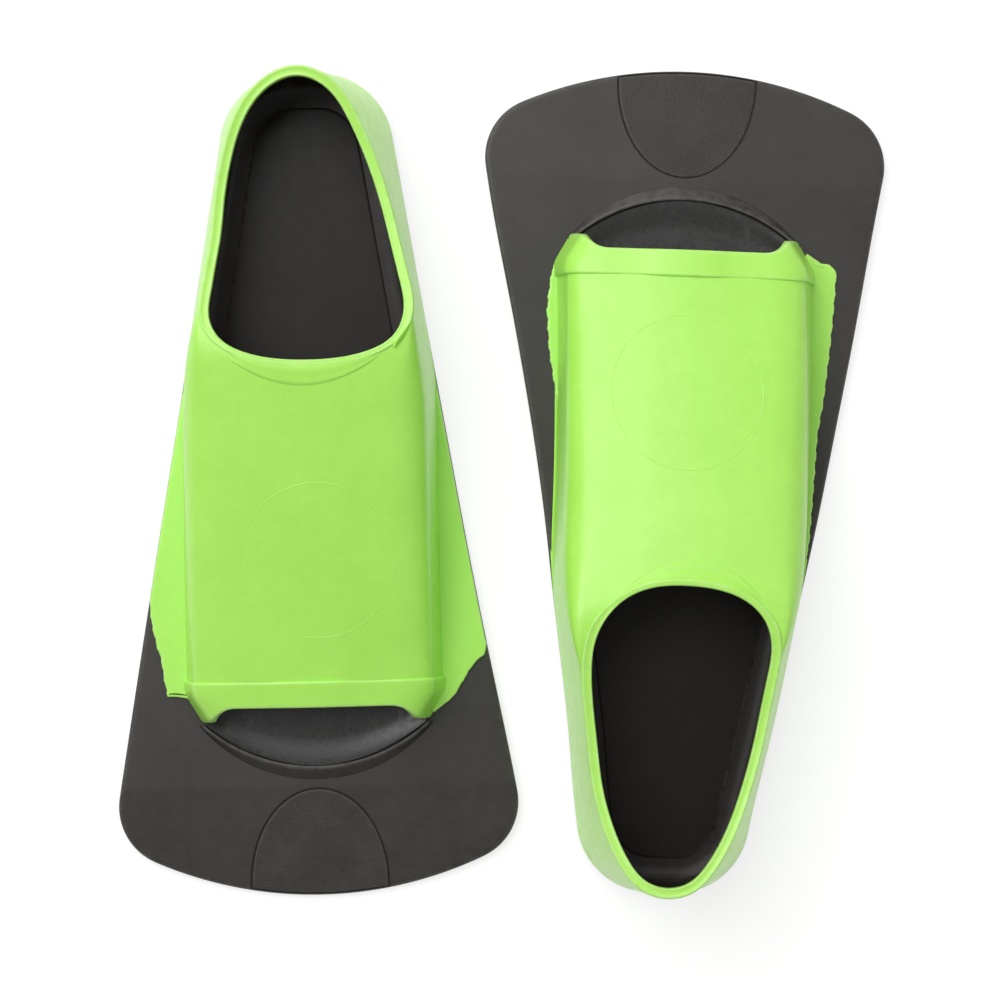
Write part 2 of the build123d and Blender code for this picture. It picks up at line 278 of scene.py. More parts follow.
class Fin:
    """One fin of the pair: where it lies, and what differs from the other."""

    def __init__(self, side):
        self.side = side
        self.body = f"{side}_fin"
        self.blade = f"{side}_blade"
        joint = next(j for j in frame["joints"] if j["name"] == f"{side}_blade_flex")
        self.across = -Vector(joint["axis"]).normalized()
        self.along = Vector((0, 0, 1)).cross(self.across)
        blade = sizes("fin_blade")
        pivot = Vector(joint["pos_m"])
        self.origin = pivot - self.along * blade["flex_at"] * MM
        self.origin.z = 0.0
        self.form = FORMS[side]
        self.bow = Track(self.form["bow"], 14.0)
        self.girth = Track(self.form["girth"], 14.0)

    def place(self, points):
        """Points of the fin, in millimetres, as points of the row frame in metres."""
        pts = np.asarray(points, float).reshape(-1, 3)
        x = (pts[:, 0] * self.girth(pts[:, 1]) + self.bow(pts[:, 1])) * MM
        y, z = pts[:, 1] * MM, pts[:, 2] * MM
        return (np.array(self.origin)[None] + x[:, None] * np.array(self.across)[None]
                + y[:, None] * np.array(self.along)[None] + z[:, None] * np.array([[0, 0, 1.0]]))

    def settle(self, points):
        """Plan points measured on the finished fin, as points of the straight moulding."""
        pts = np.array(points, float)
        pts[:, 0] = (pts[:, 0] - self.bow(pts[:, 1])) / self.girth(pts[:, 1])
        return pts

    def flex(self):
        """Start and end of the bend, in the row frame."""
        blade = sizes("fin_blade")
        low = self.place([(0, blade["flex_at"] + blade["flex_reach"] - 1.5, 3)])[0]
        high = self.place([(0, blade["flex_at"] - blade["flex_reach"] - 1.5, 3)])[0]
        return Vector(low), Vector(high)


# What differs between the two mouldings, in millimetres from the blade's tip and middle:
# the foot opening's edge, the sideways bow, the crescent and the flash beside the pocket.
FORMS = {
    "left": {
        "bow": ((0, 1.0), (60, 1.0), (100, 0.6), (150, 0.5), (200, 1.0), (260, 1.2), (300, 1.5),
                (320, 1.8), (352, 1.5)),
        "girth": ((60, 1.0), (120, 0.99), (215, 0.982), (352, 0.982)),
        "opening": ((0, 227.2), (-13, 228.2), (-25, 231.2), (-34.4, 237), (-38.4, 245), (-37.6, 256),
                    (-35.4, 268), (-33.2, 280), (-31.6, 294), (-28.8, 309), (-23.4, 325),
                    (-13.6, 338), (0.4, 343.4), (12.6, 338), (21.2, 325), (28, 309), (33.2, 293),
                    (37.2, 277), (41.2, 260), (42.9, 247), (39.2, 237.4), (27, 230.2), (13, 227.6)),
        "crescent": ((-38, 234), (1, 215.8), (41, 235)),
        # How much painted highlight the toe lip's outer bevel gets on this fin: little.
        "bevel_wear": 0.1,
        "band_front": 82.1,
        "band_back": 93.4,
        "flash": (
            ((-48.0, 82.0), (-54.0, 85.6), (-58.5, 86.4), (-62.5, 86.4), (-63.8, 93.5), (-64.9, 102.0),
             (-67.3, 110.6), (-68.9, 119.2), (-69.3, 127.8)),
            ((51.0, 77.5), (57.4, 81.9), (61.7, 86.5), (64.0, 90.8), (69.7, 99.2), (73.6, 101.7),
             (74.4, 106.4)),
        ),
        "flash_to_edge": True,
        "ring": (4.3, 144.0),
    },
    "right": {
        "bow": ((0, 1.7), (60, 1.5), (85, 0.3), (110, -0.9), (160, -2.0), (200, -2.2), (220, -1.3),
                (245, -1.1), (285, -0.8), (311, 1.2), (330, 1.3), (352, 1.0)),
        "girth": ((60, 1.0), (120, 0.985), (160, 0.975), (215, 0.975), (352, 0.98)),
        "opening": ((-1.0, 219.2), (-14, 220.4), (-26, 224.6), (-34.2, 232), (-37.8, 242), (-36.8, 256),
                    (-34.6, 270), (-32.2, 286), (-29, 302), (-24.6, 317), (-17, 332), (-8.4, 341),
                    (0.5, 343.2), (9.4, 340.6), (17.8, 331), (24.6, 317), (29.6, 302), (33.0, 286),
                    (35.8, 270), (37.2, 256), (36.2, 243), (31, 232), (22.5, 224.2), (11, 220)),
        "crescent": ((-38, 230), (-5, 207.6), (35, 230)),
        # How much painted highlight the toe lip's outer bevel gets on this fin: much, as if lit.
        "bevel_wear": 0.75,
        "band_front": 78.5,
        "band_back": 90.0,
        "flash": (
            ((-52.0, 76.5), (-57.9, 80.6), (-61.8, 80.9), (-64.9, 83.7), (-64.5, 96.6), (-63.4, 115.4),
             (-61.3, 139.5), (-59.2, 154.0), (-58.3, 177.0), (-57.0, 203.0), (-54.0, 214.0)),
            ((47.0, 74.0), (52.5, 78.4), (56.9, 87.1), (57.9, 95.7), (58.5, 104.3), (57.0, 121.4),
             (53.8, 138.4), (52.4, 147.0), (49.0, 160.0)),
        ),
        "flash_to_edge": False,
        "ring": (0.5, 139.0),
    },
}


def flank(y):
    """Half the fin's width at a distance from its tip."""
    b = sizes("fin_blade")
    slope = (b["half_width"] - b["heel_half_width"]) / (b["fin_length"] - b["heel_radius"] - b["widest_at"])
    return b["half_width"] - slope * (np.asarray(y, float) - b["widest_at"])


def heel_round(inset, count):
    """The heel's quarter round, from the flank to the middle, moved in by inset."""
    b = sizes("fin_blade")
    centre_y = b["fin_length"] - b["heel_radius"]
    slope = (flank(0) - flank(1))
    centre_x = flank(centre_y) - b["heel_radius"] * math.hypot(1, slope)
    start = math.atan(slope)
    turn = np.linspace(start, math.pi / 2, count)
    r = b["heel_radius"] - inset
    arc = np.stack([centre_x + r * np.cos(turn), centre_y + r * np.sin(turn)], 1)
    return np.vstack([arc, [[centre_x / 2, centre_y + r], [0, centre_y + r]]])


def fin_outline():
    """The whole fin seen from above, as evenly spaced points from the tip's middle."""
    b = sizes("fin_blade")
    slope = flank(0) - flank(1)
    tip, corner = b["tip_radius"], b["corner_radius"]
    low, high = 0.0, 120.0
    for _ in range(60):
        cy = (low + high) / 2
        cx = flank(cy) - corner * math.hypot(1, slope)
        if math.hypot(cx, tip - cy) > tip - corner:
            low = cy
        else:
            high = cy
    to_centre = math.atan2(cx, tip - cy)
    turn = np.linspace(0, to_centre, 60)
    line = [np.stack([tip * np.sin(turn), tip - tip * np.cos(turn)], 1)]
    turn = np.linspace(to_centre - math.pi / 2, math.atan(slope), 30)
    line.append(np.stack([cx + corner * np.cos(turn), cy + corner * np.sin(turn)], 1))
    line.append(heel_round(0, 30))
    half = even(np.vstack(line), 260)
    return np.vstack([half, (half * [-1, 1])[::-1][1:-1]])


# ---- mesh making -------------------------------------------------------------------------------------

def grid_faces(rows, cols, wrap_rows=False, wrap_cols=False):
    """Quads over a grid of points."""
    faces = []
    for i in range(rows if wrap_rows else rows - 1):
        for j in range(cols if wrap_cols else cols - 1):
            a, b = i, (i + 1) % rows
            c, d = j, (j + 1) % cols
            faces.append((a * cols + c, a * cols + d, b * cols + d, b * cols + c))
    return faces


def build(name, fin, points, faces, material, rim=None, weld=0.0, sharp=60.0):
    """A smooth mesh object of the fin from points in its own millimetres."""
    mesh = bpy.data.meshes.new(name)
    mesh.from_pydata([tuple(p) for p in fin.place(points)], [], faces)
    if rim is not None:
        layer = mesh.attributes.new("rim", "FLOAT", "POINT")
        layer.data.foreach_set("value", np.asarray(rim, np.float32).ravel())
    bm = bmesh.new()
    bm.from_mesh(mesh)
    if weld:
        bmesh.ops.remove_doubles(bm, verts=bm.verts, dist=weld * MM)
    bmesh.ops.recalc_face_normals(bm, faces=bm.faces)
    bm.to_mesh(mesh)
    bm.free()
    mesh.shade_smooth()
    mesh.set_sharp_from_angle(angle=math.radians(sharp))
    mesh.materials.append(material)
    obj = bpy.data.objects.new(name, mesh)
    bpy.context.scene.collection.objects.link(obj)
    return obj


def finish_piece(obj, fin, slot, *nodes, bends=False):
    """Hang a piece on its fin's body, or, if bends is set, bake its place into its mesh instead; hide the CAD
    nodes it stands for.
    """
    if bends:
        start, end = fin.flex()
        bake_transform(obj)
    else:
        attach(obj, fin.body)
    if nodes:
        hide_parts(*[f"{fin.side}_{node}" for node in nodes])
    return obj


def apply_modifiers(obj):
    """Bake an object's modifiers into its mesh."""
    bpy.context.view_layer.update()
    graph = bpy.context.evaluated_depsgraph_get()
    mesh = bpy.data.meshes.new_from_object(obj.evaluated_get(graph))
    obj.modifiers.clear()
    obj.data = mesh
    return obj


def thicken(obj, thickness):
    """Give an open skin its wall, inwards."""
    solid = obj.modifiers.new("wall", "SOLIDIFY")
    solid.thickness = thickness * MM
    solid.offset = -1.0
    apply_modifiers(obj)
    obj.data.set_sharp_from_angle(angle=math.radians(60))
    return obj


def plate(name, fin, outline, layers, material, cuts=(), highlight_layers=None):
    """A flat plate with shaped edges: layers of (inset, height) from the under face to the top."""
    normal = outward(outline)
    points, rim = [], []
    for index, (inset, height) in enumerate(layers):
        ring = outline - normal * inset
        points.append(np.column_stack([ring, np.full(len(ring), height)]))
        rim.append(np.full(len(ring), highlight_layers[index] if highlight_layers else 0.0))
    points = np.vstack(points)
    count = len(outline)
    faces = grid_faces(len(layers), count, wrap_cols=True)
    faces.append(tuple(range(count))[::-1])
    faces.append(tuple((len(layers) - 1) * count + k for k in range(count)))
    obj = build(name, fin, points, faces, material, rim=np.concatenate(rim), sharp=40)
    if len(cuts):
        bm = bmesh.new()
        bm.from_mesh(obj.data)
        for y in cuts:
            spot = Vector(fin.place([(0, y, 0)])[0])
            bmesh.ops.bisect_plane(bm, geom=bm.verts[:] + bm.edges[:] + bm.faces[:],
                                   plane_co=spot, plane_no=fin.along)
        bm.to_mesh(obj.data)
        bm.free()
    return obj


# ---- materials ---------------------------------------------------------------------------------------

def start_group(name, inputs, outputs):
    """A new shader group with named sockets, and its two end nodes."""
    group = bpy.data.node_groups.new(name, "ShaderNodeTree")
    for label, kind, value in inputs:
        socket = group.interface.new_socket(label, in_out="INPUT", socket_type=kind)
        if value is not None:
            socket.default_value = value
    for label, kind in outputs:
        group.interface.new_socket(label, in_out="OUTPUT", socket_type=kind)
    return group, group.nodes.new("NodeGroupInput"), group.nodes.new("NodeGroupOutput")


def math_node(tree, operation, first, second=None, clamp=False):
    """A maths node fed by sockets or numbers; gives its output."""
    node = tree.nodes.new("ShaderNodeMath")
    node.operation = operation
    node.use_clamp = clamp
    for socket, value in zip(node.inputs, (first, second)):
        if value is None:
            continue
        if isinstance(value, (int, float)):
            socket.default_value = value
        else:
            tree.links.new(value, socket)
    return node.outputs[0]


def remap(tree, value, low, high, to_low=0.0, to_high=1.0):
    """A clamped change of range."""
    node = tree.nodes.new("ShaderNodeMapRange")
    tree.links.new(value, node.inputs["Value"])
    for label, number in (("From Min", low), ("From Max", high),
                          ("To Min", to_low), ("To Max", to_high)):
        if isinstance(number, (int, float)):
            node.inputs[label].default_value = number
        else:
            tree.links.new(number, node.inputs[label])
    return node.outputs["Result"]


def noise(tree, vector, scale, detail=3.0, roughness=0.55):
    """A noise texture's value."""
    node = tree.nodes.new("ShaderNodeTexNoise")
    tree.links.new(vector, node.inputs["Vector"])
    node.inputs["Detail"].default_value = detail
    node.inputs["Roughness"].default_value = roughness
    if isinstance(scale, (int, float)):
        node.inputs["Scale"].default_value = scale
    else:
        tree.links.new(scale, node.inputs["Scale"])
    return node.outputs["Fac"]


def mix(tree, factor, first, second):
    """A colour mix; gives its output."""
    node = tree.nodes.new("ShaderNodeMix")
    node.data_type = "RGBA"
    if isinstance(factor, (int, float)):
        node.inputs[0].default_value = factor
    else:
        tree.links.new(factor, node.inputs[0])
    for socket, value in ((node.inputs[6], first), (node.inputs[7], second)):
        if isinstance(value, (tuple, list)):
            socket.default_value = (*value[:3], 1.0)
        else:
            tree.links.new(value, socket)
    return node.outputs[2]


def grain_group():
    """Moulded rubber's fine grain with sparse pits."""
    group, start, end = start_group(
        "rubber_grain",
        (("Vector", "NodeSocketVector", None), ("Grain Size", "NodeSocketFloat", 2600.0),
         ("Pit Size", "NodeSocketFloat", 420.0), ("Pits", "NodeSocketFloat", 0.3)),
        (("Height", "NodeSocketFloat"),))
    vector = start.outputs["Vector"]
    fine = noise(group, vector, start.outputs["Grain Size"], 2.0, 0.6)
    cells = group.nodes.new("ShaderNodeTexVoronoi")
    group.links.new(vector, cells.inputs["Vector"])
    group.links.new(start.outputs["Pit Size"], cells.inputs["Scale"])
    pits = remap(group, cells.outputs["Distance"], 0.0, 0.34, 1.0, 0.0)
    patch = remap(group, noise(group, vector, 160.0, 2.0), 0.52, 0.70)
    pits = math_node(group, "MULTIPLY", math_node(group, "MULTIPLY", pits, patch),
                     start.outputs["Pits"])
    group.links.new(math_node(group, "SUBTRACT", fine, pits), end.inputs["Height"])
    return group


def cloud_group():
    """Slow cloudy change of a rubber's colour and gloss."""
    group, start, end = start_group(
        "rubber_clouds",
        (("Vector", "NodeSocketVector", None), ("Base", "NodeSocketColor", None),
         ("Shade", "NodeSocketColor", None), ("Cloud Size", "NodeSocketFloat", 30.0),
         ("Depth", "NodeSocketFloat", 0.5), ("Roughness", "NodeSocketFloat", 0.5),
         ("Spread", "NodeSocketFloat", 0.12)),
        (("Color", "NodeSocketColor"), ("Roughness", "NodeSocketFloat")))
    vector = start.outputs["Vector"]
    broad = noise(group, vector, start.outputs["Cloud Size"], 4.0, 0.6)
    close = noise(group, vector, math_node(group, "MULTIPLY", start.outputs["Cloud Size"], 7.0),
                  3.0, 0.65)
    cloud = math_node(group, "ADD", math_node(group, "MULTIPLY", broad, 0.65),
                      math_node(group, "MULTIPLY", close, 0.35))
    mask = math_node(group, "MULTIPLY", remap(group, cloud, 0.38, 0.64), start.outputs["Depth"])
    group.links.new(mix(group, mask, start.outputs["Base"], start.outputs["Shade"]),
                    end.inputs["Color"])
    swing = math_node(group, "MULTIPLY", math_node(group, "SUBTRACT", close, 0.5),
                      start.outputs["Spread"])
    group.links.new(math_node(group, "ADD", start.outputs["Roughness"],
                              math_node(group, "MULTIPLY", swing, 2.0)), end.inputs["Roughness"])
    return group


def bloom_group():
    """Painted highlight along rounded edges, broken up by noise, from the piece's rim values."""
    group, start, end = start_group(
        "painted_edge_highlight",
        (("Vector", "NodeSocketVector", None), ("Rim", "NodeSocketFloat", 0.0),
         ("Color", "NodeSocketColor", None), ("Bloom", "NodeSocketColor", None),
         ("Amount", "NodeSocketFloat", 0.6)),
        (("Color", "NodeSocketColor"),))
    broken = remap(group, noise(group, start.outputs["Vector"], 260.0, 4.0, 0.6), 0.30, 0.62)
    mask = math_node(group, "MULTIPLY",
                     math_node(group, "MULTIPLY", start.outputs["Rim"], broken),
                     start.outputs["Amount"], clamp=True)
    group.links.new(mix(group, mask, start.outputs["Color"], start.outputs["Bloom"]),
                    end.inputs["Color"])
    return group


def scuff_group():
    """Long rubbed patches, drawn out along one direction."""
    group, start, end = start_group(
        "rubbed_scuffs",
        (("Vector", "NodeSocketVector", None), ("Scale", "NodeSocketFloat", 90.0),
         ("Threshold", "NodeSocketFloat", 0.56)),
        (("Mask", "NodeSocketFloat"),))
    mapping = group.nodes.new("ShaderNodeMapping")
    mapping.inputs["Scale"].default_value = (1.0, 0.35, 1.0)
    group.links.new(start.outputs["Vector"], mapping.inputs["Vector"])
    value = noise(group, mapping.outputs[0], start.outputs["Scale"], 6.0, 0.65)
    high = math_node(group, "ADD", start.outputs["Threshold"], 0.14)
    group.links.new(remap(group, value, start.outputs["Threshold"], high), end.inputs["Mask"])
    return group


GROUPS = {"rubber_grain": grain_group, "rubber_clouds": cloud_group,
          "painted_edge_highlight": bloom_group, "rubbed_scuffs": scuff_group}


def place_group(tree, name, **values):
    """Put a shared group into a material, with its own values."""
    node = tree.nodes.new("ShaderNodeGroup")
    node.node_tree = bpy.data.node_groups.get(name) or GROUPS[name]()
    for label, value in values.items():
        socket = node.inputs[label.replace("_", " ")]
        if isinstance(value, (int, float)):
            socket.default_value = value
        elif isinstance(value, (tuple, list)) or hasattr(value, "hsv"):
            socket.default_value = (*tuple(value)[:3], 1.0)
        else:
            tree.links.new(value, socket)
    return node


def rubber(name, base, shade, highlight, roughness, grain=2600.0, bump=0.10, pits=0.3, pit_size=420.0,
           depth=0.5, cloud=30.0, specular=0.4, amount=0.6, coat=0.0, scuff_and_sheen=None, spread=0.12):
    """One moulded rubber: clouds of colour, a painted edge highlight from the rim values, grain and, if
    asked, rubbed scuffs with painted sheen.
    """
    material = bpy.data.materials.get(name)
    if material:
        return material
    material = bpy.data.materials.new(name)
    material.use_nodes = True
    tree = material.node_tree
    shader = tree.nodes["Principled BSDF"]
    coords = tree.nodes.new("ShaderNodeTexCoord").outputs["Object"]
    # The rim values on each mesh say where painted highlight and painted sheen go.
    rim = tree.nodes.new("ShaderNodeAttribute")
    rim.attribute_name = "rim"
    clouds = place_group(tree, "rubber_clouds", Vector=coords, Base=base, Shade=shade,
                         Cloud_Size=cloud, Depth=depth, Roughness=roughness, Spread=spread)
    lit_edge = place_group(tree, "painted_edge_highlight", Vector=coords, Rim=rim.outputs["Fac"],
                       Color=clouds.outputs["Color"], Bloom=highlight, Amount=amount)
    color, rough = lit_edge.outputs["Color"], clouds.outputs["Roughness"]
    surface = place_group(tree, "rubber_grain", Vector=coords, Grain_Size=grain,
                          Pit_Size=pit_size, Pits=pits)
    if scuff_and_sheen:
        rubbed = place_group(tree, "rubbed_scuffs", Vector=coords, Scale=scuff_and_sheen[1],
                             Threshold=scuff_and_sheen[2])
        # Scuffs only where the rim values allow: there they stand for painted sheen as well as rubbing.
        mask = math_node(tree, "MULTIPLY", rubbed.outputs["Mask"], rim.outputs["Fac"])
        color = mix(tree, mask, color, scuff_and_sheen[0])
        rough = math_node(tree, "ADD", rough, math_node(tree, "MULTIPLY", mask, 0.2))
    tree.links.new(color, shader.inputs["Base Color"])
    tree.links.new(rough, shader.inputs["Roughness"])
    relief = tree.nodes.new("ShaderNodeBump")
    relief.inputs["Strength"].default_value = bump
    relief.inputs["Distance"].default_value = 0.4 * MM
    tree.links.new(surface.outputs["Height"], relief.inputs["Height"])
    tree.links.new(relief.outputs[0], shader.inputs["Normal"])
    shader.inputs["Specular IOR Level"].default_value = specular
    shader.inputs["Coat Weight"].default_value = coat
    shader.inputs["Coat Roughness"].default_value = 0.22
    return material


def green_rubber():
    """The foot pocket's satin green rubber."""
    c = bpy.context.scene.fin_colours
    return rubber("green_satin_rubber", c.green, c.green_shade, c.green_highlight, 0.44, grain=1500.0,
                  bump=0.12, pits=0.25, pit_size=300.0, depth=0.50, cloud=26.0, specular=0.5,
                  amount=0.75, coat=0.3)


def black_rubber():
    """The blade and sole's fine-grained black rubber."""
    c = bpy.context.scene.fin_colours
    return rubber("black_moulded_rubber", c.black, c.black_mottle_and_highlight, c.black_mottle_and_highlight, 0.46, grain=3000.0,
                  bump=0.18, pits=0.35, pit_size=500.0, depth=0.22, cloud=24.0, specular=0.5,
                  amount=0.9)


def panel_rubber():
    """The tip panel's coarser pebbled grain."""
    c = bpy.context.scene.fin_colours
    return rubber("grained_panel_rubber", c.black, c.black_mottle_and_highlight, c.black_mottle_and_highlight, 0.52, grain=1400.0,
                  bump=0.55, pits=0.9, pit_size=1100.0, depth=0.30, cloud=40.0, specular=0.45,
                  amount=0.7)


def toe_rubber():
    """The toe window's polished floor with its scuffs and painted sheen."""
    c = bpy.context.scene.fin_colours
    return rubber("glossy_toe_rubber", c.toe, c.black, c.black_mottle_and_highlight, 0.30, grain=2200.0, bump=0.08,
                  pits=0.3, depth=0.4, cloud=60.0, specular=0.5, amount=0.0,
                  scuff_and_sheen=(tuple(c.toe_scuff_and_sheen), 110.0, 0.50), spread=0.2)


def inner_rubber():
    """The lining's smooth dark rubber."""
    c = bpy.context.scene.fin_colours
    return rubber("dark_lining_rubber", c.inner, c.black, c.black_mottle_and_highlight, 0.42, grain=2400.0,
                  bump=0.12, pits=0.5, depth=0.35, cloud=30.0, specular=0.2, amount=0.8, coat=0.1)


# ---- the green pocket's surface -----------------------------------------------------------------------

# Along the fin: the instep's middle height, the rim's height, how widely a shoulder is rounded,
# how far a wall leans in, and how much the toe end draws in ahead of the band. The opening's
# heel point is where its two halves meet.
CROWN = Track(((60, 24.0), (74, 29.2), (93, 33.0), (215, 61.0), (227, 63.6), (240, 66.0)), 5.0)
RIM = Track(((200, 63.6), (224, 63.6), (236, 62.8), (246, 60.9), (258, 58.9), (272, 57.5),
             (286, 57.0), (300, 57.5), (315, 59.4), (330, 62.6), (343, 66.0), (352, 68.6)), 3.0)
SHOULDER = Track(((60, 15.0), (93, 16.0), (205, 23.0), (226, 16.0), (246, 3.0), (352, 2.5)), 6.0)
LEAN = Track(((60, 6.5), (93, 6.0), (130, 5.0), (352, 5.0)), 6.0)
OPENING_HEEL = (0.5, 343.5)
TOE_DRAW = Track(((60, 19.0), (74, 8.6), (87.5, 0.4), (93, 0.0)), 1.5)


def base_half(y, band_front=82.0):
    """Half the pocket's width where it stands on the sole."""
    p = sizes("fin_pocket")
    wide = p["half_width"] - TOE_DRAW(np.asarray(y, float) + 82.0 - band_front)
    edge = flank(y)
    soft = 1.1
    return -soft * np.log(np.exp(-wide / soft) + np.exp(-edge / soft))


def opening_loop(fin, count):
    """The opening's edge all the way round, with its outward normals."""
    loop = closed_spline(fin.form["opening"], count)
    normal = outward(loop)
    if np.mean(np.sum((loop - loop.mean(0)) * normal, axis=1)) < 0:
        normal = -normal
    return loop, normal


def opening_half(fin, hand):
    """The opening's edge on one hand, from the front's middle to the heel, with its normals."""
    loop, normal = opening_loop(fin, 480)
    heel = int(np.argmin(np.linalg.norm(loop - np.array(OPENING_HEEL), axis=1)))
    if hand < 0:
        return loop[:heel + 1], normal[:heel + 1]
    order = np.concatenate([[0], np.arange(len(loop) - 1, heel - 1, -1)])
    return loop[order], normal[order]


def pocket_half(fin, hand, inset=0.0, foot=5.9, flare=1.6):
    """Rows of points over one half of the pocket, from its foot to the middle or the rim."""
    p = sizes("fin_pocket")
    b = sizes("fin_blade")
    edge, normal = opening_half(fin, hand)
    front_y, front_x = edge[0][1], edge[0][0]
    widest = int(np.argmax(hand * edge[:, 0]))
    corner_y = edge[widest][1]
    lining = inset > 0
    over = 0.6 if lining else 0.45 * p["collar_width"]
    wall = 0.35 if lining else p["collar_width"] - 0.2
    rim_drop, ring_drop = (2.6, 3.4) if lining else (1.2, 1.0)

    split_y = front_y - 26.0
    heel_start = b["fin_length"] - b["heel_radius"] + 5.2
    front = np.linspace(fin.form["band_back"] + (2.0 if lining else -0.6), split_y, 44)
    middle = np.linspace(split_y, corner_y, 46)[1:]
    side = np.linspace(corner_y, heel_start, 40)[1:]
    heel = heel_round(inset, 36)
    heel = heel[heel[:, 1] > heel_start + 1.0]
    y_all = np.concatenate([front, middle, side])
    foot_line = np.vstack([np.stack([base_half(y_all) - inset, y_all], 1), heel])
    foot_line[:, 0] *= hand
    rows = len(foot_line)
    n_front, n_middle = len(front), len(middle)

    # the crest line along the shoulders, then round the opening
    crest = np.zeros((rows, 3))
    top_half = base_half(y_all) - inset - LEAN(y_all)
    arch = np.stack([hand * top_half, y_all, CROWN(y_all) - p["crown_rise"] - inset], 1)
    crest[:len(y_all)] = arch
    ring = edge + normal * wall
    nearest = np.array([int(np.argmin(np.linalg.norm(ring[widest:] - q, axis=1))) + widest
                        for q in foot_line])
    nearest = np.maximum.accumulate(nearest)
    nearest = np.minimum(nearest, len(edge) - 1)
    nearest[-1] = len(edge) - 1
    wall_rows = np.arange(rows) >= n_front + n_middle - 1
    smooth = np.convolve(np.pad(nearest.astype(float), 6, mode="edge"), np.ones(13) / 13, "valid")
    smooth[:n_front + n_middle] = widest
    smooth[-1] = len(edge) - 1
    smooth = np.maximum.accumulate(smooth)

    def along_edge(index, offset):
        """A point beside the opening's edge, at a fractional index."""
        at = np.arange(len(edge))
        spot = np.stack([np.interp(index, at, edge[:, 0]), np.interp(index, at, edge[:, 1])], 1)
        out = np.stack([np.interp(index, at, normal[:, 0]), np.interp(index, at, normal[:, 1])], 1)
        return spot + out * offset

    inner_index = np.zeros(rows)
    fan = np.linspace(0, 1, n_middle + 1)[1:]
    inner_index[n_front:n_front + n_middle] = widest * fan ** 1.15
    inner_index[wall_rows] = smooth[wall_rows]
    inner = np.zeros((rows, 3))
    inner[:, :2] = along_edge(inner_index, over)
    inner[:n_front, 1] = front[0] + (front_y - over - front[0]) * (front - front[0]) / (
        split_y - front[0])
    inner[:n_front, 0] = front_x * ease(inner[:n_front, 1], 120, front_y)
    to_rim = np.ones(rows)
    to_rim[:n_front] = 0.0
    to_rim[n_front:n_front + n_middle] = ease(fan, 0.0, 1.0)

    def arch_height(x, y):
        """Height of the instep's arched top."""
        middle = front_x * ease(y, 120, front_y)
        return CROWN(y) - inset - p["crown_rise"] * ((x - middle) / np.interp(
            y, y_all, top_half)) ** 2

    rim_z = RIM(inner[:, 1]) - rim_drop
    inner[:, 2] = arch_height(inner[:, 0], inner[:, 1]) * (1 - to_rim) + rim_z * to_rim

    round_ring = np.zeros((rows, 3))
    round_ring[:, :2] = along_edge(np.where(wall_rows, smooth, widest), wall)
    round_ring[:, 2] = RIM(round_ring[:, 1]) - ring_drop
    take = ease(foot_line[:, 1], corner_y - 22, corner_y + 8)
    crest = crest * (1 - take)[:, None] + round_ring * take[:, None]
    crest[len(y_all):] = round_ring[len(y_all):]

    foot3 = np.column_stack([foot_line, np.full(rows, foot)])
    out = np.zeros((rows, 3))
    out[:, :2] = outward(foot_line, closed=False)
    if np.mean(out[:, 0] * foot_line[:, 0]) < 0:
        out = -out
    room = np.clip(np.concatenate([flank(y_all) - base_half(y_all), np.zeros(len(heel))]), 0, 3) / 3
    spread = np.full(rows, -p["cove"]) if lining else flare * room
    skirt = foot3 + out * spread[:, None]
    rise = crest - foot3
    reach = np.linalg.norm(rise, axis=1)
    up = rise / reach[:, None]
    rise_low = 1.1 * p["cove"] if lining else 3.2
    low = foot3 + up * np.minimum(rise_low, 0.4 * reach)[:, None]
    bend = np.minimum(1.85 * SHOULDER(foot_line[:, 1]), 0.56 * reach)
    under = crest - up * bend[:, None]
    span = inner - crest
    gap = np.maximum(np.linalg.norm(span, axis=1), 0.05)
    level = span / gap[:, None]
    beyond = crest + level * np.minimum(1.85 * SHOULDER(foot_line[:, 1]), 0.6 * gap)[:, None]
    near = inner - span * 0.22
    arched = 1 - to_rim
    for part in (beyond, near):
        part[:, 2] += arched * (arch_height(part[:, 0], part[:, 1]) - part[:, 2])
    control = np.stack([skirt, foot3, low, under, crest, beyond, near, inner], 1)
    return soften_rows(spline_rows(control, 6))


def pocket_points(fin, **options):
    """Both halves of the pocket as points, faces and the number of columns."""
    points, faces = [], []
    for hand in (-1, 1):
        rows = pocket_half(fin, hand, **options)
        shift = sum(len(part) for part in points)
        quads = grid_faces(rows.shape[0], rows.shape[1])
        faces += [tuple(k + shift for k in quad) for quad in quads]
        points.append(rows.reshape(-1, 3))
    return np.vstack(points), faces


# ---- operators ---------------------------------------------------------------------------------------------

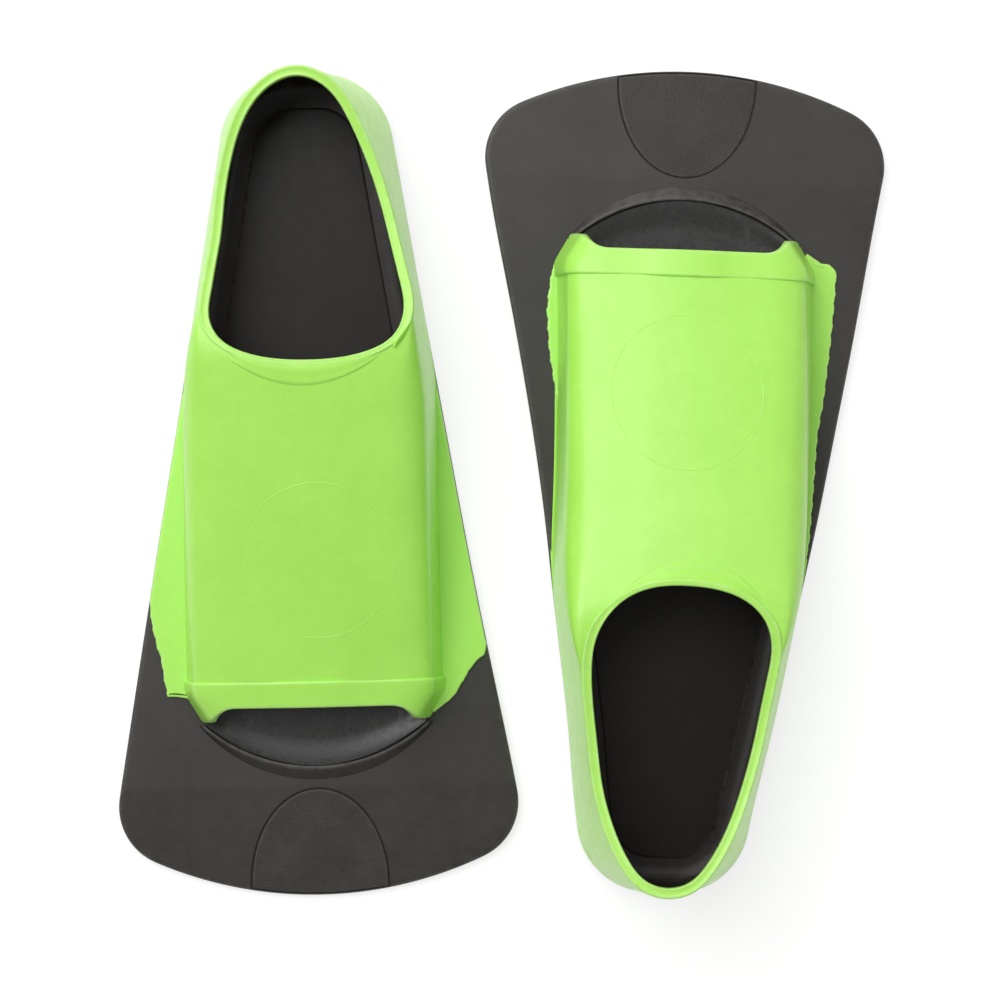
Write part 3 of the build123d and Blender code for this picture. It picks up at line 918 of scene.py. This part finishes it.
class FINS_OT_moulding(bpy.types.Operator):
    """Make the black moulding of both fins: blade, wings and sole in one piece, with cuts across the bending
    line.
    """
    bl_idname = "fins.moulding"
    bl_label = "Black moulding"

    def execute(self, context):
        b = sizes("fin_blade")
        panel = sizes("fin_panel")
        top = b["thickness"]
        outline = fin_outline()
        layers = ((1.2, 0.0), (0.4, 0.25), (0.0, 1.0), (0.0, top - 1.6), (0.08, top - 1.0),
                  (0.3, top - 0.55), (0.75, top - 0.15), (b["edge_round"], top), (2.6, top))
        # Painted highlight round the blade's edge: lighter on the edge faces, none on the top or underside.
        rim = (0, 0.2, 0.3, 0.6, 1.0, 1.0, 0.7, 0.25, 0.0)
        cuts = np.arange(b["flex_at"] - 9, b["flex_at"] + 8, 1.5)

        def thin(y):
            """How much thinner the blade is towards its tip."""
            return (b["thickness"] - b["tip_thickness"]) * np.clip(1 - y / b["flex_at"], 0, 1)

        for side in SIDES:
            fin = Fin(side)
            body = plate(f"{side}_moulding", fin, outline, layers, black_rubber(), cuts=cuts,
                         highlight_layers=rim)
            shape = panel_outline(panel)
            deep = top - panel["drop"] - 1.0
            cutter = plate("panel_cutter", fin, shape,
                           ((-panel["groove"] * 0.4, deep), (-panel["groove"] * 0.4, top - 0.5),
                            (-panel["groove"] - 0.2, top + 0.05), (-panel["groove"] - 0.2, top + 2)),
                           black_rubber())
            cut = body.modifiers.new("panel", "BOOLEAN")
            cut.operation = "DIFFERENCE"
            cut.object = cutter
            cut.solver = "EXACT"
            apply_modifiers(body)
            bpy.data.objects.remove(cutter)
            lower_tip(fin, body, thin, top / 2)
            body.data.set_sharp_from_angle(angle=math.radians(28))
            finish_piece(body, fin, "black_rubber", "blade", "sole", bends=True)

            # The panel's step edge gets a painted highlight too.
            inlay = plate(f"{side}_tip_panel_inlay", fin, shape,
                          ((0.0, deep + 0.1), (0.0, top - panel["drop"] - 0.35),
                           (0.12, top - panel["drop"] - 0.1), (0.45, top - panel["drop"]),
                           (1.4, top - panel["drop"])), panel_rubber(), cuts=cuts,
                          highlight_layers=(0, 0.2, 0.8, 0.6, 0.0))
            lower_tip(fin, inlay, thin, deep)
            finish_piece(inlay, fin, "grained_rubber", "tip_panel", bends=True)
        return {"FINISHED"}


def lower_tip(fin, obj, thin, above):
    """Taper the upper face towards the tip."""
    for v in obj.data.vertices:
        if v.co.z > above * MM:
            y = (v.co - fin.origin).dot(fin.along) / MM
            v.co.z -= float(thin(y)) * MM


def panel_outline(panel):
    """The tip panel's arch seen from above."""
    turn = np.linspace(0, math.pi, 90)
    height = panel["apex_at"] - panel["root_at"]
    arch = np.stack([panel["half_width"] * np.cos(turn),
                     panel["root_at"] + height * np.sin(turn) ** 0.94], 1)
    tip = sizes("fin_blade")["tip_radius"]
    x = np.linspace(-panel["half_width"], panel["half_width"], 40)[1:-1]
    root = np.stack([x, tip - np.sqrt(tip**2 - x**2) + panel["margin"]], 1)
    return np.vstack([arch, root])


def arc_line(half_width, ends_y, apex_y, count):
    """A plan arc through two ends and its apex."""
    rise = ends_y - apex_y
    radius = (half_width**2 + rise**2) / (2 * rise)
    reach = math.asin(half_width / radius)
    turn = np.linspace(-reach, reach, count)
    return np.stack([radius * np.sin(turn), apex_y + radius - radius * np.cos(turn)], 1)


class FINS_OT_toe_window(bpy.types.Operator):
    """Make each toe window's raised lip and its hollow glossy bed."""
    bl_idname = "fins.toe_window"
    bl_label = "Toe window"

    def execute(self, context):
        w = sizes("fin_window")
        b = sizes("fin_blade")
        top = b["thickness"]
        count = 90
        for side in SIDES:
            fin = Fin(side)
            inner = arc_line(w["half_width"], w["corner_at"], w["apex_at"], count)
            outer = arc_line(w["half_width"] + w["lip_width"], w["corner_at"] - 0.4,
                             w["apex_at"] - w["lip_width"], count)
            foot = arc_line(w["half_width"] + w["lip_width"] + 1.0, w["corner_at"] - 0.4,
                            w["apex_at"] - w["lip_width"] - w["lip_bevel"], count)
            crest = top + w["lip_height"]
            low = top - 0.5

            def lay(plan_a, plan_b, share, height):
                """A line between two plan lines at one height."""
                plan = plan_a * (1 - share) + plan_b * share
                return np.column_stack([plan, np.full(count, height)])

            section = [lay(inner, outer, 0.0, low), lay(inner, outer, 0.02, crest - 0.7),
                       lay(inner, outer, 0.10, crest - 0.22), lay(inner, outer, 0.28, crest),
                       lay(inner, outer, 0.72, crest + 0.02), lay(inner, outer, 0.95, crest - 0.12),
                       lay(outer, foot, 0.12, crest - 0.45), lay(outer, foot, 0.40, crest - 1.35),
                       lay(outer, foot, 0.70, crest - 2.2), lay(outer, foot, 0.88, top + 0.35),
                       lay(outer, foot, 1.0, top + 0.04), lay(outer, foot, 1.02, low)]
            # The lip's level top gets a painted highlight, and its outer bevel as much as this fin's setting
            # gives.
            lit_edge = fin.form["bevel_wear"]
            highlight_row = (0, 0, 0.3, 1.0, 1.0, 0.9, lit_edge, lit_edge, lit_edge, 0.7 * lit_edge, 0.3 * lit_edge, 0)
            points = np.stack(section, 0)
            faces = grid_faces(len(section), count, wrap_rows=True)
            faces += [tuple(k * count for k in range(len(section))),
                      tuple(k * count + count - 1 for k in range(len(section)))]
            lip = build(f"{side}_toe_lip", fin, points.reshape(-1, 3), faces, black_rubber(),
                        rim=np.repeat(highlight_row, count), sharp=50)
            finish_piece(lip, fin, "black_rubber", "toe_rim", bends=True)

            across = np.linspace(-1, 1, count)
            rows = []
            scuff_and_sheen = []
            steps = 26
            for k in range(steps):
                share = k / (steps - 1)
                y = inner[:, 1] + (w["bed_back"] - inner[:, 1]) * share
                x = across * (w["half_width"] - 0.3)
                dish = 6.2 + 1.6 * np.abs(across) ** 4 + 1.0 * (1 - ease(share, 0, 0.3))
                rows.append(np.column_stack([x, y, dish]))
                # Scuffs and painted sheen: lighter towards the window's two ends from just behind the lip
                # back, and a little over the back half.
                scuff_and_sheen.append(ease(np.abs(across), 0.45, 0.85) * ease(share, 0.02, 0.15)
                             + 0.12 * ease(share, 0.25, 0.5))
            bed = build(f"{side}_toe_bed_dish", fin, np.vstack(rows), grid_faces(steps, count),
                        toe_rubber(), rim=np.clip(np.concatenate(scuff_and_sheen), 0, 1))
            thicken(bed, 0.5)
            finish_piece(bed, fin, "gloss_rubber", "toe_bed")
        return {"FINISHED"}


class FINS_OT_pocket(bpy.types.Operator):
    """Make each fin's green foot pocket, with the crown of its instep and its walls."""
    bl_idname = "fins.pocket"
    bl_label = "Foot pocket"

    def execute(self, context):
        p = sizes("fin_pocket")
        for side in SIDES:
            fin = Fin(side)
            points, faces = pocket_points(fin)
            # Painted reflection of the pale floor: the green turns paler low on the walls towards the heel.
            down = 1 - ease(points[:, 2], 12.0, 52.0)
            highlight = down * ease(points[:, 1], 200, 310)
            skin = build(f"{side}_pocket_shell", fin, points, faces, green_rubber(), rim=highlight,
                         weld=0.02)
            thicken(skin, p["wall"])
            finish_piece(skin, fin, "green_rubber", "foot_pocket")
        return {"FINISHED"}


def fade_painted_highlight(bed, fin):
    """Fade the footbed's painted edge highlight across the fin: full on its local -X side, partly at the
    middle, none on its +X side.
    """
    layer = bed.data.attributes["rim"]
    for item, v in zip(layer.data, bed.data.vertices):
        spot = v.co - fin.origin
        item.value *= float(1 - ease(spot.dot(fin.across) / MM, -24, 12))


class FINS_OT_inside(bpy.types.Operator):
    """Make each fin's dark lining and its footbed."""
    bl_idname = "fins.inside"
    bl_label = "Lining and footbed"

    def execute(self, context):
        p = sizes("fin_pocket")
        b = sizes("fin_blade")
        for side in SIDES:
            fin = Fin(side)
            points, faces = pocket_points(fin, inset=p["wall"] + p["lining"], foot=8.6)
            # Painted sheen in the heel's cove: a band about 14 mm up the lining, towards the heel.
            cove = np.exp(-((points[:, 2] - 14.0) / 4.5) ** 2) * ease(points[:, 1], 296, 322)
            skin = build(f"{side}_inner_skin", fin, points, faces, inner_rubber(), rim=0.7 * cove,
                         weld=0.02)
            finish_piece(skin, fin, "inner_rubber", "lining")
            inset = p["wall"] + p["lining"] + p["cove"] - 0.6
            y = np.linspace(fin.form["band_back"] + 2.5, b["fin_length"] - b["heel_radius"] + 5, 60)
            half = np.vstack([np.stack([base_half(y) - inset, y], 1), heel_round(inset, 24)])
            half = half[np.concatenate([[True], np.diff(half[:, 1]) > -1e-6])]
            half = even(half, 150)
            outline = np.vstack([half, (half * [-1, 1])[::-1][1:]])
            # The insole's rounded edge gets a painted highlight, faded off on one side.
            bed = plate(f"{side}_insole", fin, outline,
                        ((0.0, 6.2), (0.0, 8.62), (0.2, 8.75), (0.6, 8.82), (1.3, 8.82)), inner_rubber(),
                        highlight_layers=(0.0, 0.6, 1.0, 0.7, 0.0))
            fade_painted_highlight(bed, fin)
            finish_piece(bed, fin, "inner_rubber", "footbed")
        return {"FINISHED"}


class FINS_OT_collar(bpy.types.Operator):
    """Make the rolled bead round each foot opening."""
    bl_idname = "fins.collar"
    bl_label = "Collar bead"

    def execute(self, context):
        p = sizes("fin_pocket")
        width, lift = p["collar_width"], p["collar_lift"]
        section = ((0.3, -5.2), (0.12, -3.6), (0.0, -1.9), (0.05, -0.8), (0.18, -0.25), (0.40, 0.04),
                   (0.68, 0.12), (0.95, 0.02), (1.4, -0.02), (2.2, 0.05), (3.1, 0.25),
                   (3.6, lift), (4.0, lift - 0.08), (4.35, -0.2), (4.55, -1.2), (4.6, -2.6), (4.3, -5.0),
                   (2.4, -5.6))
        # Painted highlight along the bead's inner roll and its outer ridge.
        highlight_row = (0, 0, 0.2, 0.7, 1.0, 1.0, 0.9, 0.3, 0.1, 0.1, 0.3, 0.9, 0.9, 0.4, 0.3, 0.2, 0, 0)
        for side in SIDES:
            fin = Fin(side)
            edge, normal = opening_loop(fin, 300)
            height = RIM(edge[:, 1])
            ahead = 1 - ease(edge[:, 1], edge[:, 1].min() + 4, edge[:, 1].min() + 20)
            rows = []
            for out, up in section:
                narrow = 1 - 0.42 * ahead * (out > 0.7)
                plan = edge + normal * (out * narrow * width / 4.6)[:, None]
                level = up - ahead * (max(up, 0.0) - 0.05) * (out > 0.9)
                rows.append(np.column_stack([plan, height + level]))
            points = np.stack(rows, 0)
            faces = grid_faces(len(section), len(edge), wrap_rows=True, wrap_cols=True)
            bead = build(f"{side}_collar_bead", fin, points.reshape(-1, 3), faces, green_rubber(),
                         rim=np.repeat(highlight_row, len(edge)), sharp=70)
            finish_piece(bead, fin, "green_rubber", "collar")
        return {"FINISHED"}


def surface_tree(name):
    """A piece's surface, for laying other pieces on it."""
    obj = bpy.data.objects[name]
    bm = bmesh.new()
    bm.from_mesh(obj.data)
    tree = BVHTree.FromBMesh(bm)
    bm.free()
    return tree


def heights_on(fin, tree, plan, fallback):
    """Heights of plan points dropped on to a surface, in millimetres."""
    result = []
    for spot in fin.place(np.column_stack([plan, np.zeros(len(plan))])):
        hit = tree.ray_cast(Vector((spot[0], spot[1], 0.2)), Vector((0, 0, -1)))
        result.append(hit[0].z / MM if hit[0] is not None else fallback)
    return np.array(result)


class FINS_OT_crescent(bpy.types.Operator):
    """Make the thick crescent ahead of each foot opening."""
    bl_idname = "fins.crescent"
    bl_label = "Instep crescent"

    def execute(self, context):
        p = sizes("fin_pocket")
        relief = p["crescent_relief"]
        sunk = 0.25                # how far the crescent's front line starts in the instep
        under_brim = 1.2           # from the collar's top down to the instep beside it
        side_corner_y = 262.0      # the opening's side corners lie ahead of this
        brim_height = RIM(227.0)   # the collar's top at the opening's front edge
        count, steps = 80, 16
        for side in SIDES:
            fin = Fin(side)
            tree = surface_tree(f"{side}_pocket_shell")
            ends = np.array(fin.form["crescent"])
            t = np.linspace(0, 1, count)[:, None]
            control = 2 * ends[1] - (ends[0] + ends[2]) / 2
            line = (1 - t) ** 2 * ends[0] + 2 * t * (1 - t) * control + t**2 * ends[2]
            loop, normal = opening_loop(fin, 480)
            ring = loop + normal * 2.0
            far = []
            ahead = ring[ring[:, 1] < side_corner_y]
            for x in line[:, 0]:
                far.append(ahead[np.argmin(np.abs(ahead[:, 0] - x) + 0.02 * ahead[:, 1])])
            far = np.array(far)
            taper = ease(np.minimum(t[:, 0], 1 - t[:, 0]) / 0.2, 0, 1)
            brim = RIM(far[:, 1]) - 0.1
            rows = []
            for k in range(steps):
                share = (k / (steps - 1)) ** 1.3
                plan = line * (1 - share) + far * share
                z = heights_on(fin, tree, plan, brim_height - under_brim)
                fell_in = z < brim_height - 6.0
                z = np.where(fell_in, RIM(plan[:, 1]) - under_brim, z)
                z = np.convolve(np.pad(z, 2, mode="edge"), np.ones(5) / 5, "valid")
                z += -sunk + (relief + sunk) * ease(share, 0, 0.2) * taper
                meet = ease(share, 0.45, 1.0) * taper
                rows.append(np.column_stack([plan, z * (1 - meet) + brim * meet]))
            skin = build(f"{side}_instep_step", fin, np.vstack(rows), grid_faces(steps, count),
                         green_rubber())
            finish_piece(skin, fin, "green_rubber", "instep_crescent")
        return {"FINISHED"}


def arch_profile(y, offset, count, band_front):
    """Plan half widths and heights over the pocket at one distance from the tip: (count, 2)."""
    p = sizes("fin_pocket")
    half = float(base_half(y, band_front))
    crown = float(CROWN(y))
    lean = float(LEAN(y))
    shoulder = float(SHOULDER(y))
    foot = np.array([half, 6.0])
    crest = np.array([half - lean, crown - p["crown_rise"]])
    up = (crest - foot) / np.linalg.norm(crest - foot)
    reach = np.linalg.norm(crest - foot)
    under = crest - up * min(1.85 * shoulder, 0.62 * reach)
    beyond = crest + np.array([-1.0, 0.0]) * min(1.85 * shoulder, 0.6 * crest[0])
    beyond[1] += p["crown_rise"] * 0.42
    middle = np.array([0.0, crown])
    near = np.array([crest[0] * 0.22, crown])
    control = np.array([foot, foot + up * 3.2, under, crest, beyond, near, middle])[None]
    flat = np.concatenate([control, np.zeros((1, 7, 1))], 2)
    half_line = spline_rows(flat, 10)[0][:, :2]
    half_line = even(half_line, count // 2 + 1)
    full = np.vstack([half_line, (half_line * [-1, 1])[::-1][1:]])
    along = np.gradient(full, axis=0)
    along /= np.linalg.norm(along, axis=1)[:, None]
    normal = np.stack([along[:, 1], -along[:, 0]], 1)
    if normal[len(full) // 2][1] < 0:
        normal = -normal
    return full + normal * offset


class FINS_OT_band(bpy.types.Operator):
    """Make the strip across each fin's toes, with its two ears."""
    bl_idname = "fins.band"
    bl_label = "Toe band"

    def execute(self, context):
        p = sizes("fin_pocket")
        relief, wall = p["band_relief"], p["wall"]
        count = 121
        for side in SIDES:
            fin = Fin(side)
            front = fin.form["band_front"]
            back = fin.form["band_back"]
            base = arch_profile(front, 0.0, count, front)
            ear = ease(np.abs(base[:, 0]), 32.0, p["half_width"] - 3.5) ** 1.3
            edge_y = front - p["ear_reach"] * ear
            section = ((0.9, -wall), (0.25, -wall), (0.0, -wall + 0.5), (0.0, relief - 1.1),
                       (0.12, relief - 0.5), (0.45, relief - 0.12), (1.0, relief), (2.5, relief))
            rows, rim = [], []
            for ahead, offset in section:
                rows.append(self.line(fin, edge_y + ahead, offset, count))
            # Painted highlight along the band's rounded front edge.
            rim += [0, 0, 0.5, 0.9, 1.0, 0.8, 0.3, 0.0]
            for share in np.linspace(0.25, 0.9, 6):
                y = (edge_y + 2.5) * (1 - share) + (back - 1.1) * share
                rows.append(self.line(fin, y, relief, count))
                rim.append(0.0)
            # The back step's edge gets a faint painted highlight as well.
            for y, offset, lit_edge in ((back - 1.1, relief, 0.2), (back - 0.6, relief - 0.1, 0.5),
                                    (back - 0.2, relief - 0.4, 0.3), (back, relief - 0.9, 0),
                                    (back + 0.1, -0.2, 0), (back + 0.1, -wall, 0)):
                rows.append(self.line(fin, np.full(count, y), offset, count))
                rim.append(lit_edge)
            points = np.stack(rows, 0)
            faces = grid_faces(len(rows), count)
            band = build(f"{side}_toe_strap", fin, points.reshape(-1, 3), faces, green_rubber(),
                         rim=np.repeat(rim, count), sharp=70)
            finish_piece(band, fin, "green_rubber", "toe_band")
        return {"FINISHED"}

    def line(self, fin, y, offset, count):
        """Points over the toes at a distance that changes across the band."""
        stations = np.linspace(68, 96, 29)
        front = fin.form["band_front"]
        table = np.stack([arch_profile(s, offset, count, front) for s in stations], 0)
        result = np.zeros((count, 3))
        for k in range(count):
            result[k, 0] = np.interp(y[k], stations, table[:, k, 0])
            result[k, 2] = np.interp(y[k], stations, table[:, k, 1])
        result[:, 1] = y
        return result


class FINS_OT_flash(bpy.types.Operator):
    """Make the thin wings of green rubber beside each pocket, with their ragged edges."""
    bl_idname = "fins.flash"
    bl_label = "Side flanges"

    def execute(self, context):
        top = sizes("fin_blade")["thickness"]
        thick = sizes("fin_pocket")["flange_thickness"]
        section = ((0.0, -0.3), (0.0, thick - 0.75), (0.12, thick - 0.3), (0.4, thick - 0.05),
                   (0.9, thick), (1.6, thick))
        # Painted highlight along the flange's thin free edge.
        highlight_row = (0, 0.7, 1.0, 0.8, 0.2, 0.0, 0.0)
        count = 260
        for side in SIDES:
            fin = Fin(side)
            for node, hand, shape in zip(("outer_flange", "inner_flange"), (-1, 1),
                                         fin.form["flash"]):
                line = fin.settle(shape)
                if fin.form["flash_to_edge"]:
                    y = np.linspace(line[-1][1] + 2.0, 216.0, 60)
                    line = np.vstack([line, np.stack([hand * (flank(y) - 0.35), y], 1)])
                edge = even(line, count)
                free = ease(flank(edge[:, 1]) - np.abs(edge[:, 0]), 0.6, 2.0)
                ragged = 0.22 * np.sin(edge[:, 1] * 0.9 + hand) + 0.12 * np.sin(edge[:, 1] * 2.3)
                edge[:, 0] += hand * free * ragged
                edge = np.stack([np.convolve(np.pad(edge[:, k], 1, mode="edge"), (0.25, 0.5, 0.25),
                                             "valid") for k in range(2)], 1)
                normal = outward(edge, closed=False)
                normal *= np.sign(np.mean(normal[:, 0]) * hand)
                under = np.stack([hand * (base_half(edge[:, 1], fin.form["band_front"]) - 3.0),
                                  np.maximum(edge[:, 1], fin.form["band_front"] + 1.5)], 1)
                rows = [np.column_stack([edge - normal * inset, np.full(count, top + z)])
                        for inset, z in section]
                rows.append(np.column_stack([under, np.full(count, top + thick)]))
                points = np.stack(rows, 0)
                wing = build(f"{side}_{node}_flash", fin, points.reshape(-1, 3),
                             grid_faces(len(rows), count), green_rubber(),
                             rim=np.repeat(highlight_row, count), sharp=50)
                finish_piece(wing, fin, "green_rubber", node)
        return {"FINISHED"}


class FINS_OT_ring(bpy.types.Operator):
    """Make the faint witness ring that the mould's insert leaves on each instep."""
    bl_idname = "fins.ring"
    bl_label = "Witness ring"

    def execute(self, context):
        radius = sizes("fin_pocket")["ring_radius"]
        turn = np.linspace(0, 2 * math.pi, 181)[:-1]
        for side in SIDES:
            fin = Fin(side)
            tree = surface_tree(f"{side}_pocket_shell")
            rows = []
            for away, rise in ((-0.5, -0.15), (-0.2, 0.07), (0.2, 0.07), (0.5, -0.15)):
                plan = np.array(fin.form["ring"]) + (radius + away) * np.stack(
                    [np.cos(turn), np.sin(turn)], 1)
                rows.append(np.column_stack([plan, heights_on(fin, tree, plan, 40.0) + rise]))
            ring = build(f"{side}_witness_ring", fin, np.vstack(rows),
                         grid_faces(len(rows), len(turn), wrap_cols=True), green_rubber())
            finish_piece(ring, fin, "green_rubber")
        return {"FINISHED"}


class FINS_OT_stage(bpy.types.Operator):
    """Set out the floor, the soft lamps and the camera straight overhead."""
    bl_idname = "fins.stage"
    bl_label = "Stage"

    def execute(self, context):
        s = context.scene.fin_stage
        size = 40.0
        mesh = bpy.data.meshes.new("floor")
        z = -0.0002    # just under the fins, so that no two faces share a plane
        mesh.from_pydata([(-size, -size, z), (size, -size, z), (size, size, z), (-size, size, z)],
                         [], [(0, 1, 2, 3)])
        floor = bpy.data.objects.new("floor", mesh)
        context.scene.collection.objects.link(floor)
        material = bpy.data.materials.new("pale_floor")
        material.use_nodes = True
        tree = material.node_tree
        shader = tree.nodes["Principled BSDF"]
        shader.inputs["Roughness"].default_value = 0.9
        shader.inputs["Specular IOR Level"].default_value = 0.1
        path = tree.nodes.new("ShaderNodeLightPath")
        shader.inputs["Emission Color"].default_value = (1, 1, 1, 1)
        seen = math_node(tree, "ADD", path.outputs["Is Camera Ray"], path.outputs["Is Glossy Ray"])
        seen = math_node(tree, "ADD", seen, path.outputs["Is Transmission Ray"], clamp=True)
        tree.links.new(mix(tree, seen, (0.88, 0.88, 0.88), (s.floor_shown,) * 3),
                       shader.inputs["Base Color"])
        glow = math_node(tree, "MULTIPLY", seen, s.floor_glow)
        tree.links.new(glow, shader.inputs["Emission Strength"])
        mesh.materials.append(material)

        world = bpy.data.worlds.new("soft_sky")
        world.use_nodes = True
        back = world.node_tree.nodes["Background"]
        back.inputs["Color"].default_value = (1.0, 1.0, 1.0, 1)
        back.inputs["Strength"].default_value = s.sky
        context.scene.world = world

        for name, place, power, width in (
                ("key_lamp", (-0.65, 0.72, 1.5), s.lamp_power, 1.5),
                ("fill_lamp", (1.2, 0.1, 1.2), s.fill_power, 1.0),
                ("edge_lamp", (-0.3, 1.7, 0.62), s.edge_power, 0.9)):
            data = bpy.data.lights.new(name, "AREA")
            data.energy = power
            data.size = width
            lamp = bpy.data.objects.new(name, data)
            context.scene.collection.objects.link(lamp)
            lamp.location = place
            lamp.rotation_euler = (-Vector(place)).to_track_quat("-Z", "Y").to_euler()
            lamp.visible_camera = False

        data = bpy.data.cameras.new("overhead_camera")
        data.sensor_width = 36.0
        data.lens = 36.0 * s.camera_height / s.view_width
        data.clip_start = 0.05
        data.clip_end = 30.0
        camera = bpy.data.objects.new("overhead_camera", data)
        context.scene.collection.objects.link(camera)
        camera.location = (s.camera_x, s.camera_y, s.camera_height)
        camera.rotation_euler = (0, 0, 0)
        context.scene.camera = camera
        context.scene.view_settings.view_transform = "Standard"
        return {"FINISHED"}


class FINS_PT_panel(bpy.types.Panel):
    """The fins' pieces and their settings."""
    bl_idname = "FINS_PT_panel"
    bl_label = "Training fins"
    bl_space_type = "VIEW_3D"
    bl_region_type = "UI"
    bl_category = "Fins"

    def draw(self, context):
        for operator in OPERATORS:
            self.layout.operator(operator.bl_idname)
        for name in SETTINGS:
            box = self.layout.box()
            group = getattr(context.scene, name)
            for key in group.__annotations__:
                box.prop(group, key)


SETTINGS = {"fin_blade": BladeSizes, "fin_panel": PanelSizes, "fin_window": WindowSizes,
            "fin_pocket": PocketSizes, "fin_colours": RubberColours, "fin_stage": StageSettings}
OPERATORS = (FINS_OT_moulding, FINS_OT_toe_window, FINS_OT_pocket, FINS_OT_inside, FINS_OT_collar,
             FINS_OT_crescent, FINS_OT_band, FINS_OT_flash, FINS_OT_ring, FINS_OT_stage)
CLASSES = (*SETTINGS.values(), *OPERATORS, FINS_PT_panel)


def register():
    for cls in CLASSES:
        bpy.utils.register_class(cls)
    for name, group in SETTINGS.items():
        setattr(bpy.types.Scene, name, PointerProperty(type=group))


def unregister():
    for name in SETTINGS:
        delattr(bpy.types.Scene, name)
    for cls in reversed(CLASSES):
        bpy.utils.unregister_class(cls)


def main():
    """Make every piece in order."""
    register()
    for operator in OPERATORS:
        group, name = operator.bl_idname.split(".")
        getattr(getattr(bpy.ops, group), name)()


if __name__ == "__main__":
    main()
